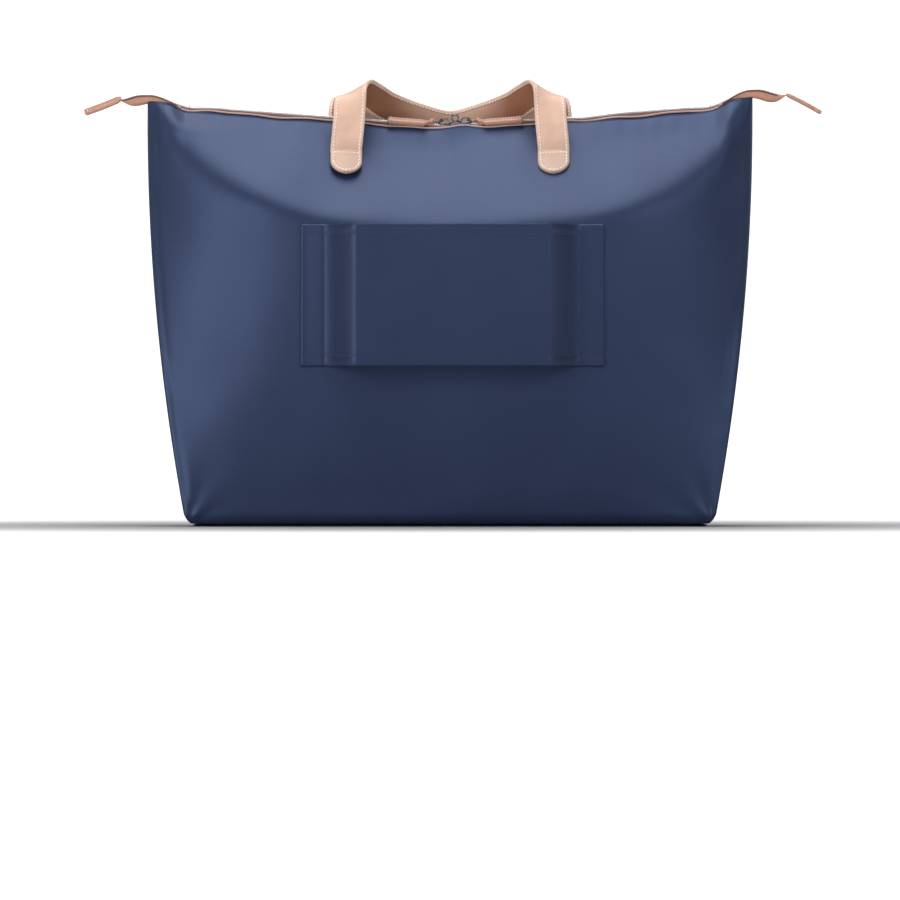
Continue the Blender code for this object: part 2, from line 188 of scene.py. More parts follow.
def read_off(places, run, rows):
    """Rows of three numbers, read off at places along their run."""
    return np.stack([np.interp(places, run, rows[:, k]) for k in range(3)], -1)


def panel_normal(x, z, side):
    d = 0.001
    along = panel_point(x + d, z, side) - panel_point(x - d, z, side)
    up = panel_point(x, z + d, side) - panel_point(x, z - d, side)
    return unit(np.cross(along, up)) * -side


def edge_depth(z):
    up = np.clip(np.asarray(z) / HEIGHT, 0, 1)
    return TOP_DEPTH + (HALF_DEPTH - TOP_DEPTH) * (1 - up) - floor_inset(z)


def gusset_reach(y, z):
    fold = 0.002 + 0.026 * (z / GUSSET_TOP) ** 1.5
    near = np.maximum(1 - np.abs(y) / (edge_depth(z) - GUSSET_SET), 0)
    return half_width(z) - floor_inset(z) - GUSSET_SET - fold * near**1.2


def centre_lift(x):
    """The fabric edge is pushed up where the two sliders sit."""
    return 0.0048 * bell(0.009, 0.018, x)


def edge_wave(x):
    """Slight waves along the sewn edge."""
    return 0.0006 * np.sin(x * 61 + 1.3) + 0.0004 * np.sin(x * 143 + 0.4)


def cloud(x, y, z, scale, seed):
    """Smooth noise from about -1 to 1 at each point."""
    flat = np.broadcast_arrays(x, y, z)
    shape = flat[0].shape
    values = [
        noise.noise(Vector((a * scale + seed, b * scale - seed, c * scale + 2 * seed)))
        for a, b, c in zip(*(part.ravel() for part in flat))
    ]
    return np.array(values).reshape(shape)


# ---- materials
def node(tree, kind, **values):
    made = tree.nodes.new(kind)
    for key, value in values.items():
        if key in made.inputs:
            made.inputs[key].default_value = value
        else:
            setattr(made, key, value)
    return made


def start_material(name, roughness, **sockets):
    material = bpy.data.materials.new(name)
    material.use_nodes = True
    tree = material.node_tree
    shader = tree.nodes["Principled BSDF"]
    for key, value in {"Roughness": roughness, **sockets}.items():
        shader.inputs[key.replace("_", " ")].default_value = value
    return material, tree, shader, node(tree, "ShaderNodeTexCoord").outputs["Object"]


def maths(tree, operation, *inputs):
    made = node(tree, "ShaderNodeMath", operation=operation)
    for socket, value in zip(made.inputs, inputs):
        if isinstance(value, (int, float)):
            socket.default_value = value
        else:
            tree.links.new(value, socket)
    return made.outputs[0]


def total(tree, first, *others):
    """The sum of (value, weight) terms."""
    added = maths(tree, "MULTIPLY", *first)
    for value, weight in others:
        added = maths(tree, "MULTIPLY_ADD", value, weight, added)
    return added


def split(tree, vector):
    parts = node(tree, "ShaderNodeSeparateXYZ")
    tree.links.new(vector, parts.inputs[0])
    return parts.outputs


def blend_range(tree, value, low, high):
    """0 to 1 as the value goes from low to high, eased at both ends."""
    limits = {"From Min": low, "From Max": high}
    made = node(tree, "ShaderNodeMapRange", interpolation_type="SMOOTHSTEP", **limits)
    tree.links.new(value, made.inputs[0])
    return made.outputs[0]


def noise_value(tree, place, scale, detail=3.0, rough=0.5, stretch=None):
    if stretch:
        mapping = node(tree, "ShaderNodeMapping", Scale=stretch)
        tree.links.new(place, mapping.inputs["Vector"])
        place = mapping.outputs[0]
    made = node(tree, "ShaderNodeTexNoise", Scale=scale, Detail=detail, Roughness=rough)
    tree.links.new(place, made.inputs["Vector"])
    return made.outputs["Fac"]


def ramp(tree, value, stops):
    made = node(tree, "ShaderNodeValToRGB")
    tree.links.new(value, made.inputs[0])
    while len(made.color_ramp.elements) < len(stops):
        made.color_ramp.elements.new(0.5)
    for element, (place, colour) in zip(made.color_ramp.elements, stops):
        element.position = place
        element.color = (*colour, 1)
    return made.outputs[0]


def bump(tree, shader, height, distance, strength):
    made = node(tree, "ShaderNodeBump", Distance=distance, Strength=strength)
    tree.links.new(height, made.inputs["Height"])
    tree.links.new(made.outputs[0], shader.inputs["Normal"])


def shade(colour, amount):
    return tuple(min(c * amount, 1) for c in colour)


def mottle(tree, shader, value, colour, dark, light, ends=(0.3, 0.7)):
    """A base colour that goes from a dark to a light shade of one colour with the value."""
    stops = zip(ends, (shade(colour, dark), shade(colour, light)))
    tree.links.new(ramp(tree, value, tuple(stops)), shader.inputs["Base Color"])


def nylon(name, colour, axes, pitch=0.0032):
    """Fine dobby-woven nylon; axes are the two directions its threads run in."""
    material, tree, shader, place = start_material(
        name, 0.5, Specular_IOR_Level=1.0, Specular_Tint=(0.37, 0.5, 0.9, 1),
        Sheen_Weight=0.06, Sheen_Roughness=0.4, Sheen_Tint=(0.6, 0.7, 1, 1),
    )
    parts = split(tree, place)
    waves = []
    for axis, stretch in zip(axes, (1.08, 0.92)):
        turn = maths(tree, "MULTIPLY", parts[axis], 2 * math.pi / (pitch * stretch))
        waves.append(maths(tree, "SINE", turn))
    diamond = maths(tree, "MULTIPLY", *waves)
    fibre = noise_value(tree, place, 900, 2, 0.6)
    slub = noise_value(tree, place, 130, 3, 0.6, (1, 1, 5))
    bump(tree, shader, total(tree, (diamond, 0.2), (fibre, 0.7), (slub, 0.8)), 0.00014, 0.5)
    broad = noise_value(tree, place, 14, 4, 0.55)
    mixed = total(tree, (broad, 0.45), (slub, 0.35), (diamond, 0.05))
    mottle(tree, shader, mixed, colour, 0.84, 1.18, (0.22, 0.62))
    return material


def leather(name, colour, grain=1.0, second=None):
    """Smooth leather; second is (axis, from, to, colour) where the colour changes along an axis, to
    paint shade.
    """
    material, tree, shader, place = start_material(
        name, 0.46, Coat_Weight=0.08, Coat_Roughness=0.35, Sheen_Weight=0.06
    )
    cells = node(tree, "ShaderNodeTexVoronoi", Scale=1150, feature="DISTANCE_TO_EDGE")
    tree.links.new(place, cells.inputs["Vector"])
    pores = maths(tree, "MINIMUM", maths(tree, "MULTIPLY", cells.outputs[0], 3.0), 1.0)
    crumple = noise_value(tree, place, 240, 4, 0.6)
    bump(tree, shader, total(tree, (pores, 0.5), (crumple, 1.0)), 0.00012 * grain, 0.6)
    broad = noise_value(tree, place, 38, 5, 0.6)
    # sharp edges are painted lighter and hollows darker: partly wear, partly painted highlight and
    # painted shade
    edge = node(tree, "ShaderNodeNewGeometry").outputs["Pointiness"]
    wear_highlight_and_shade = maths(tree, "SUBTRACT", edge, 0.5)
    mixed = total(tree, (broad, 1.0), (wear_highlight_and_shade, 1.6), (crumple, 0.15))

    def tones(base):
        return ramp(tree, mixed, ((0.3, shade(base, 0.84)), (0.6, base), (0.85, shade(base, 1.18))))

    shown = tones(colour)
    if second:
        axis, low, high, far_colour = second
        away = maths(tree, "ABSOLUTE", split(tree, place)[axis])
        blend = node(tree, "ShaderNodeMix", data_type="RGBA")
        tree.links.new(blend_range(tree, away, low, high), blend.inputs["Factor"])
        tree.links.new(shown, blend.inputs[6])
        tree.links.new(tones(far_colour), blend.inputs[7])
        shown = blend.outputs[2]
    tree.links.new(shown, shader.inputs["Base Color"])
    rough = maths(tree, "MULTIPLY_ADD", broad, 0.25, 0.34)
    tree.links.new(rough, shader.inputs["Roughness"])
    return material


def metal(name, colour, roughness):
    material, tree, shader, place = start_material(name, roughness, Metallic=1.0)
    fine = noise_value(tree, place, 500, 4, 0.7, (1, 1, 3))
    mottle(tree, shader, noise_value(tree, place, 120), colour, 0.8, 1.15)
    scratch = 0.12
    rough = maths(tree, "MULTIPLY_ADD", fine, scratch, roughness - scratch / 2)
    tree.links.new(rough, shader.inputs["Roughness"])
    bump(tree, shader, fine, 0.00003, 0.4)
    return material


def woven_tape(name, colour):
    """Narrow woven tape with its ribs across it."""
    material, tree, shader, place = start_material(name, 0.75, Sheen_Weight=0.2)
    rib_pitch = 0.0007
    turn = maths(tree, "MULTIPLY", split(tree, place)[0], 2 * math.pi / rib_pitch)
    fuzz = noise_value(tree, place, 700, 2)
    bump(tree, shader, maths(tree, "ADD", maths(tree, "SINE", turn), fuzz), 0.00012, 0.6)
    mottle(tree, shader, fuzz, colour, 0.75, 1.2)
    return material


def thread(name, colour):
    """Waxed sewing thread, twisted along X or Z."""
    material, tree, shader, place = start_material(name, 0.6, Sheen_Weight=0.2)
    twist_pitch = 0.0005
    parts = split(tree, place)
    turn = maths(
        tree, "MULTIPLY", maths(tree, "ADD", parts[0], parts[2]), 2 * math.pi / twist_pitch
    )
    bump(tree, shader, maths(tree, "SINE", turn), 0.00005, 0.7)
    mottle(tree, shader, noise_value(tree, place, 400, 2), colour, 0.86, 1.05)
    return material


NAVY = (0.0105, 0.018, 0.047)
TAN = (0.74, 0.485, 0.365)
BROWN = (0.47, 0.235, 0.155)
MATERIALS = {
    "panel": nylon("nylon_panel", NAVY, (0, 2)),
    "side": nylon("nylon_side", NAVY, (1, 2)),
    "base": nylon("nylon_base", shade(NAVY, 0.85), (0, 1)),
    "lining": nylon("lining", shade(NAVY, 0.7), (0, 2), 0.002),
    # the handles are painted darker where they lie on the sloping panel and paler above it: painted
    # shade, to take back the light the slope catches
    "leather": leather("tan_leather", shade(TAN, 0.74), second=(2, 0.314, 0.334, TAN)),
    # the handles' inner faces are painted darker and browner than the outside, and darker still
    # away from the loop's middle: painted shade and leather-to-leather bounce
    "leather_inside_painted_shade": leather(
        "tan_leather_inside", (0.57, 0.34, 0.24), second=(0, 0.012, 0.055, (0.34, 0.145, 0.075))
    ),
    "leather_fine": leather("tan_leather_fine", BROWN, 0.6),
    "piping": leather("tan_piping", (0.5, 0.33, 0.29), 0.5),
    "tape": woven_tape("brown_tape", (0.15, 0.05, 0.038)),
    "cream": thread("cream_thread", (0.95, 0.92, 0.87)),
    "navy_thread": thread("navy_thread", (0.016, 0.028, 0.066)),
    "teeth": metal("bright_teeth", (0.93, 0.93, 0.94), 0.45),
    "gunmetal": metal("gunmetal", (0.2, 0.2, 0.215), 0.22),
}
SLOTS = {
    "lining": "lining_fabric", "tape": "zip_tape", "teeth": "zip_teeth", "gunmetal": "gunmetal"
}
SLOTS |= dict.fromkeys(("panel", "side", "base", "navy_thread"), "nylon_fabric")
SLOTS |= dict.fromkeys(
    ("leather", "leather_inside_painted_shade", "leather_fine", "piping", "cream"), "tan_leather"
)


# ---- mesh helpers
def add_piece(name, points, faces, finish, sharp=None):
    mesh = bpy.data.meshes.new(name)
    mesh.from_pydata(np.asarray(points).reshape(-1, 3).tolist(), [], faces)
    mesh.validate()
    mesh.shade_smooth()
    if sharp:
        mesh.set_sharp_from_angle(angle=math.radians(sharp))
    piece = bpy.data.objects.new(name, mesh)
    bpy.context.scene.collection.objects.link(piece)
    mesh.materials.append(MATERIALS[finish])
    return piece


def grid_faces(rows, columns, ring=False, flip=False, start=0):
    """Quads over rows x columns of points; a ring joins the last column to the first."""
    i = np.arange(rows - 1)[:, None]
    j = np.arange(columns if ring else columns - 1)[None, :]
    a = i * columns + j
    b = i * columns + (j + 1) % columns
    quads = np.stack([a, b, b + columns, a + columns], -1).reshape(-1, 4) + start
    return (quads[:, ::-1] if flip else quads).tolist()


def sheet_piece(name, points, thickness, finish, flip=False):
    """A sheet through a grid of points, with its thickness behind it, as a final mesh."""
    piece = add_piece(name, points, grid_faces(*points.shape[:2], flip=flip), finish)
    solid = piece.modifiers.new("thickness", "SOLIDIFY")
    solid.thickness = thickness
    solid.offset = -1.0
    graph = bpy.context.evaluated_depsgraph_get()
    made = bpy.data.meshes.new_from_object(piece.evaluated_get(graph))
    piece.modifiers.clear()
    piece.data = made
    return piece


def loft_piece(name, rings, finish, flip=False, sharp=None, closed=False):
    """A closed body through rings of points, capped unless its ends meet."""
    rings = np.asarray(rings, float)
    rows, columns = rings.shape[:2]
    if closed:
        faces = np.array(grid_faces(rows + 1, columns, True, flip)) % (rows * columns)
        return add_piece(name, rings, faces.tolist(), finish, sharp)
    faces = grid_faces(rows, columns, True, flip)
    first = list(range(columns))
    end = list(range((rows - 1) * columns, rows * columns))
    faces += [first if flip else first[::-1], end[::-1] if flip else end]
    return add_piece(name, rings, faces, finish, sharp)


def tube(name, path, radius, finish, sides=10, closed=False, up=(0, 0, 1)):
    """A round tube along a path."""
    if closed:
        along = np.roll(path, -1, 0) - np.roll(path, 1, 0)
    else:
        along = np.gradient(path, axis=0)
    along = unit(along)
    side = unit(np.cross(along, up) + 1e-9)
    top = np.cross(side, along)
    c, s = circle(sides)
    ring = c[:, None] * side[:, None] + s[:, None] * top[:, None]
    return loft_piece(name, path[:, None] + ring * radius, finish, closed=closed)


BEAD_X = np.array([-0.5, -0.46, -0.34, 0.0, 0.34, 0.46, 0.5])
BEAD_R = np.array([0.3, 0.62, 0.92, 1.0, 0.92, 0.62, 0.3])
BEAD_SIDES = 6


def beads(name, spots, along, normal, size, finish):
    """A row of stitches: spots, their directions and (length, width, height)."""
    c, s = circle(BEAD_SIDES)
    along, normal = unit(along), unit(normal)
    across = np.cross(along, normal)
    length, wide, high = size
    x = BEAD_X[:, None] * length
    y = BEAD_R[:, None] * c * wide / 2
    z = BEAD_R[:, None] * s * high / 2
    points = (
        spots[:, None, None]
        + along[:, None, None] * x[..., None]
        + across[:, None, None] * y[..., None]
        + normal[:, None, None] * z[..., None]
    )
    faces = []
    each = len(BEAD_X) * BEAD_SIDES
    for first in range(0, len(spots) * each, each):
        faces += grid_faces(len(BEAD_X), BEAD_SIDES, True, True, first)
        faces.append(list(range(first, first + BEAD_SIDES)))
        faces.append(list(range(first + each - BEAD_SIDES, first + each))[::-1])
    return add_piece(name, points, faces, finish)


def walk(path, normals, pitch):
    """Evenly spaced (spots, directions, normals) along a path."""
    gaps = np.linalg.norm(np.diff(path, axis=0), axis=1)
    run = np.concatenate([[0], np.cumsum(gaps)])
    count = max(int(run[-1] / pitch), 1)
    at = (np.arange(count) + 0.5) * run[-1] / count
    along = read_off(at + pitch / 3, run, path) - read_off(at - pitch / 3, run, path)
    return read_off(at, run, path), along, read_off(at, run, normals)


def sew(name, lines, finish, pitch=STITCH_PITCH, size=CREAM_STITCH, lift=0.00018):
    """Stitches along several (path, normals) lines, as one piece."""
    found = [walk(path, normals, pitch) for path, normals in lines]
    spots, along, normal = (np.concatenate(part) for part in zip(*found))
    return beads(name, spots + unit(normal) * lift, along, normal, size, finish)


def flatten(piece, stands_for=None):
    """Rides on the shell and is pressed flat with it; it may stand for a CAD node."""
    if stands_for:
        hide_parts(stands_for)
    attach(piece, "root")
    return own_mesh(piece)


# ---- the shell
def cloth_top(x):
    return edge_height(x) + EDGE_RISE


def up_share(x, z):
    """How far up its cloth a height is, from 0 to 1."""
    return (z - PANEL_LOW) / (cloth_top(x) - PANEL_LOW)


def panel_surface(u, t, side):
    """(points, normals) of a panel's visible cloth at u across and t up it."""
    top = cloth_top(u * HALF_TOP)
    z = PANEL_LOW + (top - PANEL_LOW) * t
    x = u * half_width(z)
    normal = panel_normal(x, z, side)
    point = panel_point(x, z, side)
    below = top - z
    inside = step(0, 0.05, 1 - np.abs(u)) * step(0, 0.03, z) * step(0, 0.02, below)
    seed = 3.1 if side < 0 else 7.7
    soft = 0.0034 * cloud(x, 0 * x, z, 7, seed) + 0.0012 * cloud(x, 0 * x, z, 19, seed)
    lift = soft * inside
    # folds run in from the lower corners, and the corners themselves are pinched
    away = (1 - np.abs(u)) * HALF_TOP
    corner = np.hypot(away, z)
    turn = np.arctan2(z, away + 1e-6)
    lift += 0.0011 * np.sin(turn * 11) * np.exp(-corner / 0.03) * step(0.004, 0.02, corner)
    # short gathers under the zip and beside the side seams
    gather = np.sin(x * 300 + 3 * np.sin(x * 37)) * np.exp(-below / 0.01)
    lift += 0.00035 * gather * step(0, 0.01, below)
    gather = np.sin(z * 190 + 2 * np.sin(z * 41 + seed)) * np.exp(-away / 0.01)
    lift += 0.0002 * gather * step(0, 0.004, away)
    # the turned seam stands up a little along each side
    lift += 0.0002 * bell(0.003, 0.002, away) - 0.0002 * bell(0.0065, 0.002, away)
    point = point + normal * lift[..., None]
    rise = centre_lift(x) + edge_wave(x) * step(0.24, 0.2, np.abs(x))
    if side > 0:  # the front's edge stands up behind the right-hand handle
        rise = rise + 0.0055 * bell(0.153, 0.022, x)
    point[..., 2] += rise * np.exp(-below / 0.007)
    return point, normal


def build_panel(side, name):
    even = np.linspace(-1, 1, 261)
    u = 0.75 * even + 0.25 * np.sin(even * np.pi / 2)
    # rows lie closer together at the base and under the zip
    spans = ((0, 0.05, 12), (0.05, 0.94, 120), (0.94, 1, 22))
    t = np.unique(np.concatenate([np.linspace(*span) for span in spans]))
    points, _ = panel_surface(*np.meshgrid(u, t), side)
    piece = sheet_piece(f"{name}_cloth", points, FABRIC, "panel", flip=side > 0)
    flatten(piece, name)
    across = np.linspace(-0.95, 0.95, 500)
    sewn_at = cloth_top(across * HALF_TOP) - 0.002
    line = panel_surface(across, up_share(across * HALF_TOP, sewn_at), side)
    flatten(sew(f"{name}_topstitch", [line], "navy_thread", size=NAVY_STITCH))


def build_gusset(hand, name):
    levels = np.linspace(PANEL_LOW, GUSSET_TOP + 0.012, 110)
    t, z = np.meshgrid(np.linspace(-1, 1, 81), levels)
    deep = edge_depth(z)
    y = t * np.maximum(deep - GUSSET_EDGE, 0.001)
    held = np.abs(y) * (deep - GUSSET_SET) / np.maximum(deep - GUSSET_EDGE, 1e-4)
    capped = np.minimum(z, GUSSET_TOP)
    x = gusset_reach(held, capped) + half_width(z) - half_width(capped)
    # soft unevenness, the sharp middle crease, and ripples beside it higher up
    middle = step(0, 0.35, 1 - np.abs(t))
    x = x + 0.003 * cloud(y, z, 0 * y, 16, 5 + hand) * middle
    x -= 0.0014 * np.exp(-np.abs(y) / 0.0025) * step(0.02, 0.08, z)
    x -= 0.0008 * middle * np.sin(z * 75 + 9 * np.abs(y)) * step(0.1, 0.3, z)
    piece = sheet_piece(f"{name}_cloth", xyz(hand * x, y, z), FABRIC, "side", flip=hand < 0)
    flatten(piece, name)


def rounded_box_outline(half_x, half_y, radius):
    ring = []
    for quarter, (sx, sy) in enumerate(((1, 1), (-1, 1), (-1, -1), (1, -1))):
        turn = np.linspace(0, np.pi / 2, 10) + quarter * np.pi / 2
        x = sx * (half_x - radius) + radius * np.cos(turn)
        y = sy * (half_y - radius) + radius * np.sin(turn)
        ring.append(np.stack([x, y], -1))
    return np.concatenate(ring)


def build_base():
    _, (half_x, half_y, top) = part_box("base_panel")
    profile = ((0.003, 0.0), (0.0004, 0.0006), (0.0, top / 2), (0.0006, top - 0.0002), (0.003, top))
    rings = []
    for inset, z in profile:
        outline = rounded_box_outline(half_x - inset, half_y - inset, 0.01)
        rings.append(np.column_stack([outline, np.full(len(outline), z)]))
    piece = loft_piece("base_cloth", rings, "base", sharp=40)
    flatten(piece, "base_panel")
    outline = rounded_box_outline(half_x - 0.006, half_y - 0.006, 0.008)
    outline = np.concatenate([outline, outline[:1]])
    path = np.column_stack([outline, np.zeros(len(outline))])
    down = np.tile((0.0, 0.0, -1.0), (len(path), 1))
    flatten(sew("base_stitch", [(path, down)], "navy_thread", lift=-0.00008))


def sleeve_surface(x, z):
    """(points, normals) of the trolley sleeve's outer face."""
    middle = (SLEEVE_X[0] + SLEEVE_X[1]) / 2
    half = (SLEEVE_X[1] - SLEEVE_X[0]) / 2

    def at(x, z):
        a = np.abs(x - middle)
        lift = 1 - step(SLEEVE_FLAT, half - SLEEVE_SEAM, a)
        near = panel_depth(x, z) + 0.0004 + FABRIC * 1.2
        depth = near + (SLEEVE_Y - near) * lift
        end = np.minimum(z - SLEEVE_Z[0], SLEEVE_Z[1] - z)
        hem = 0.0005 * bell(0.004, 0.003, end) - 0.0004 * bell(SLEEVE_HEM, 0.001, end)
        seam = (
            -0.0005 * bell(half - SLEEVE_SEAM, 0.0012, a)
            + 0.0004 * bell(half - 0.002, 0.0015, a)
        )
        soft = 0.0011 * cloud(x, 0 * x, z, 24, 1.5) * lift
        sag = 0.0012 * lift * bell(0, 0.045, x - middle) * (1 - bell(0, 0.02, end))
        return xyz(x, -(depth + hem + seam + soft - sag), z)

    point = at(x, z)
    d = 0.0004
    normal = np.cross(at(x + d, z) - at(x - d, z), at(x, z + d) - at(x, z - d))
    return point, unit(normal)


def build_sleeve():
    x = np.linspace(SLEEVE_X[0], SLEEVE_X[1], 200)
    z = np.linspace(SLEEVE_Z[0], SLEEVE_Z[1], 90)
    points, _ = sleeve_surface(*np.meshgrid(x, z))
    piece = sheet_piece("sleeve_cloth", points, 0.0012, "panel")
    flatten(piece, "trolley_sleeve")
    lines = []
    up = np.linspace(SLEEVE_Z[0] + 0.002, SLEEVE_Z[1] - 0.002, 120)
    across = np.linspace(SLEEVE_X[0] + 0.001, SLEEVE_X[1] - 0.001, 240)
    for end, inward in ((0, 1), (1, -1)):
        for inset in (0.002, SLEEVE_SEAM):
            lines.append(sleeve_surface(np.full_like(up, SLEEVE_X[end] + inward * inset), up))
        hem = np.full_like(across, SLEEVE_Z[end] + inward * SLEEVE_HEM)
        lines.append(sleeve_surface(across, hem))
    flatten(sew("sleeve_stitch", lines, "navy_thread", size=NAVY_STITCH))


def inner_patch(name, x_span, z_span, side, thickness):
    """A flat sewn piece on the inside of a panel."""
    x, z = np.meshgrid(np.linspace(*x_span, 24), np.linspace(*z_span, 24))
    u = x / half_width(z)
    points, normals = panel_surface(u, up_share(u * HALF_TOP, z), side)
    return sheet_piece(name, points - normals * 0.0018, thickness, "lining", flip=side > 0)


def build_lining():
    piece = inner_patch("stow_pouch", (-0.085, 0.085), (0.1, 0.22), 1, 0.0022)
    flatten(piece, "inner_pocket")
    binding = 0.0012
    for y_name, side in SIDES:
        for x_name, hand in HANDS:
            place = f"{y_name}_{x_name}"
            low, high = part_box(f"handle_patch_{place}")
            piece = inner_patch(
                f"patch_{place}", (low[0], high[0]), (TAB_LOW, TAB_TOP), side, 0.0012
            )
            flatten(piece, f"handle_patch_{place}")
            z = np.linspace(0.024, 0.3, 40)
            y = edge_depth(z) - 0.0048
            path = xyz(hand * (gusset_reach(y, z) - 0.0048), side * y, z)
            piece = tube(f"binding_{place}", path, binding, "lining", 8, up=SIDEWAYS)
            flatten(piece, f"seam_tape_{place}")
        path = xyz(np.linspace(-0.2, 0.2, 30), side * 0.0845, 0.0052)
        piece = tube(f"binding_{y_name}_base", path, binding, "lining", 8)
        flatten(piece, f"seam_tape_{y_name}_base")


# ---- the zip
def zip_lift(x):
    """The zip's tape and edging follow the fabric's waves."""
    return centre_lift(x) * 0.4 + edge_wave(x) * step(0.24, 0.2, np.abs(x))


TAPE = (  # across, how far below the teeth's top, and how much it follows the cloth's waves
    (0.0034, 0.0016, 0), (0.0052, 0.002, 0.5), (0.007, 0.0029, 1),
    (0.007, 0.0036, 1), (0.0052, 0.0028, 0.5), (0.0034, 0.0024, 0),
)


def build_zip():
    x = np.linspace(-ZIP_HALF - 0.004, ZIP_HALF + 0.004, 420)
    for y_name, side in SIDES:
        path = xyz(x, side * 0.0079, zip_height(x) - 0.004 + zip_lift(x))
        piece = tube(f"piping_{y_name}", path, 0.00082, "piping")
        flatten(piece, f"zip_piping_{y_name}")
        section = [
            xyz(x, side * y, zip_height(x) - drop + zip_lift(x) * follow)
            for y, drop, follow in TAPE
        ]
        piece = loft_piece(f"tape_{y_name}", np.stack(section, 1), "tape", flip=side > 0)
        flatten(piece, f"zip_tape_{y_name}")
    build_teeth()


TOOTH = (  # half of a tooth's outline: along the zip, across it
    (0.00052, -0.0016), (0.00052, 0.0002), (0.0007, 0.0007), (0.0006, 0.0012), (0.0003, 0.0014),
)
TOOTH_SET = 0.0016  # the rows' shift, so that the teeth's heads meet
TOOTH_LEVELS = ((0.8, 0.0024), (1.0, 0.0022), (1.0, 0.0003), (0.82, 0.0))  # size, drop


def build_teeth():
    """Interlocking cast teeth, in two rows that meet over the middle plane."""
    outline = [*TOOTH, *[(-a, b) for a, b in TOOTH[::-1]]]
    ring = len(outline)
    for y_name, side in SIDES:
        start = -TEETH_END + (TOOTH_PITCH / 2 if side > 0 else 0)
        points, faces = [], []
        for spot in np.arange(start, TEETH_END, TOOTH_PITCH):
            # the teeth sink a little where the leather closes over them
            z = zip_height(spot) - 0.0012 * step(0.226, 0.238, abs(spot))
            slope = (zip_height(spot + 0.001) - zip_height(spot - 0.001)) / 0.002
            along = np.array((1, 0, slope)) / math.hypot(1, slope)
            up = np.array((-along[2], 0, along[0]))
            base = len(points)
            for scale, drop in TOOTH_LEVELS:
                for a, b in outline:
                    middle = np.array((spot, side * (b * scale - TOOTH_SET), z))
                    points.append(middle + along * a * scale - up * drop)
            faces += grid_faces(len(TOOTH_LEVELS), ring, True, side < 0, base)
            first = list(range(base, base + ring))
            last = list(range(len(points) - ring, len(points)))
            faces += [first, last[::-1]] if side < 0 else [first[::-1], last]
        piece = add_piece(f"teeth_{y_name}", points, faces, "teeth", 40)
        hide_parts(f"zip_teeth_{y_name}")
        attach(piece, "root")


def build_zip_end(hand, name):
    """Leather folded over the zip's end: two leaves that swell, then close at the neck."""
    start = ZIP_HALF - 0.004
    neck = END_TIP + (0.0062 if hand > 0 else 0.0014)
    c, s = circle(28)
    sections = []
    for t in np.linspace(0, 1, 60):
        x = start + (neck - start) * t
        top = zip_height(hand * x) - 0.0016
        swell = min(max((t - 0.02) / 0.96, 0), 1) ** 2.2
        # the left leaf thins out faster towards its neck
        power = 1.15 if swell < 0.5 or hand > 0 else 1.5
        belly = 0.0008 + 0.0084 * math.sin(math.pi * swell) ** power
        # over the bag, the leaf's low edge follows the cloth's edge
        over = step(0.262, 0.25, x)
        low = (top - belly) * (1 - over) + (edge_height(hand * x) - 0.0012) * over
        half = 0.0072 * (1 - t) + 0.0024 * t + 0.0012 * math.sin(math.pi * t)
        high = (top + low) / 2 + squarer(s, 0.85) * (top - low) / 2
        sections.append(xyz(hand * x, half * squarer(c, 0.8), high))
    piece = loft_piece(f"{name}_leather", sections, "leather_fine", flip=hand < 0)
    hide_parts(name)
    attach(piece, "root")
    # edging that carries the piping's line on over the leather
    x = np.linspace(0.232, TEETH_END, 60)
    for y_name, side in SIDES:
        y = side * (0.007 * (1 - (x - 0.221) / 0.062) + 0.003)
        path = xyz(hand * x, y, zip_height(hand * x) - 0.0028)
        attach(tube(f"{name}_edging_{y_name}", path, 0.0006, "tape", 8), "root")


def flat_strap_rings(stations, wide, thick):
    """Rings of a flat leather strap; each station is (middle, half width, half thickness)."""
    c, s = circle(32)
    rings = []
    for spot, w, h in stations:
        edge = min(h * 0.85, w)
        x = squarer(c, 0.28) * w
        y = squarer(s, 0.55) * h
        y = y * np.clip((w - np.abs(x)) / edge + 0.45, 0, 1) ** 0.5
        rings.append(spot + np.outer(x, wide) + np.outer(y, thick))
    return rings


def rounded_tip(near, radius):
    """How much narrower a strap's half width is, this near to its round-cornered tip."""
    return radius - math.sqrt(max(radius**2 - (radius - near) ** 2, 0)) if near < radius else 0.0


def edge_rows(stations, wide, thick, face, inset):
    """Two stitch lines along a flat strap, on one of its faces."""
    rows = []
    for edge in (-1, 1):
        path = [
            spot + wide * edge * (w - inset) + thick * face * (h + 0.00002)
            for spot, w, h in stations
        ]
        rows.append((np.array(path), np.tile(thick * face, (len(path), 1))))
    return rows


END_TABS = {  # for each side: where its tab starts and ends, and how far it is rolled
    -1: ((-0.28, 0, 0.3642), (-0.3112, 0, 0.352), math.radians(18)),
    1: ((0.2865, 0, 0.3676), (0.3163, 0, 0.3518), math.radians(5)),
}
TAB_LENGTH = 0.0344


